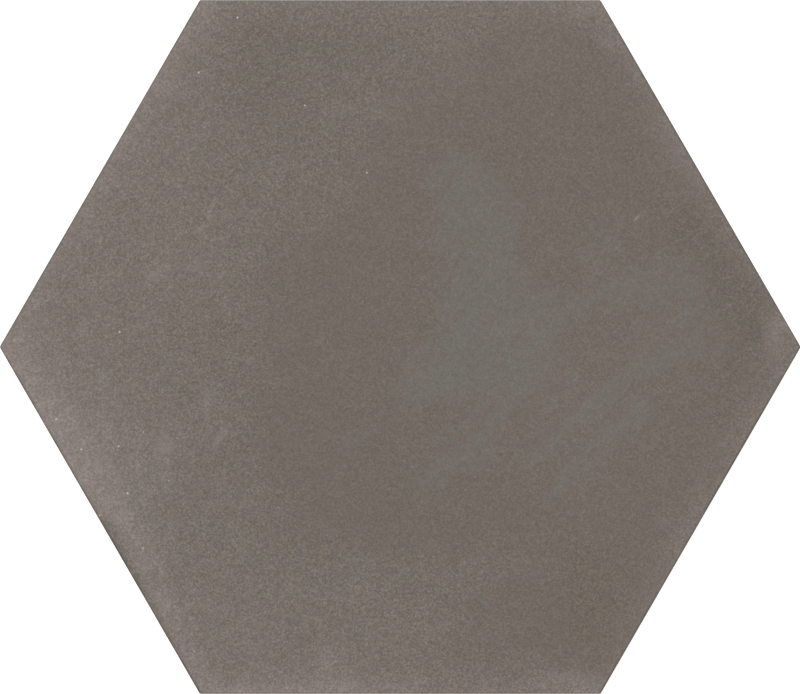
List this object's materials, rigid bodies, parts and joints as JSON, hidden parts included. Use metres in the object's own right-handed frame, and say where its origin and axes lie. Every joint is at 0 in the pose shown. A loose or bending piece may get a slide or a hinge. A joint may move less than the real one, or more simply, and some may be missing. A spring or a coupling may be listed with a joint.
{
  "type": "porcelain tile",
  "caption": "Flat hexagonal porcelain floor tile with a matt, mottled taupe-grey cement-look face, rounded arris, drafted sides and shallow honeycomb keys on its back.",
  "frame": {"origin": "middle of the bedding plane, on the flat middle cell of the back", "axes": "+Z out of the wear face, +X to a corner, +Y to the middle of a side"},
  "size_m": [0.2498, 0.2164, 0.009],
  "materials": {
    "porcelain": "matte"
  },
  "bodies": {
    "root": {"hexagon_tile": "porcelain"}
  },
  "joints": []
}
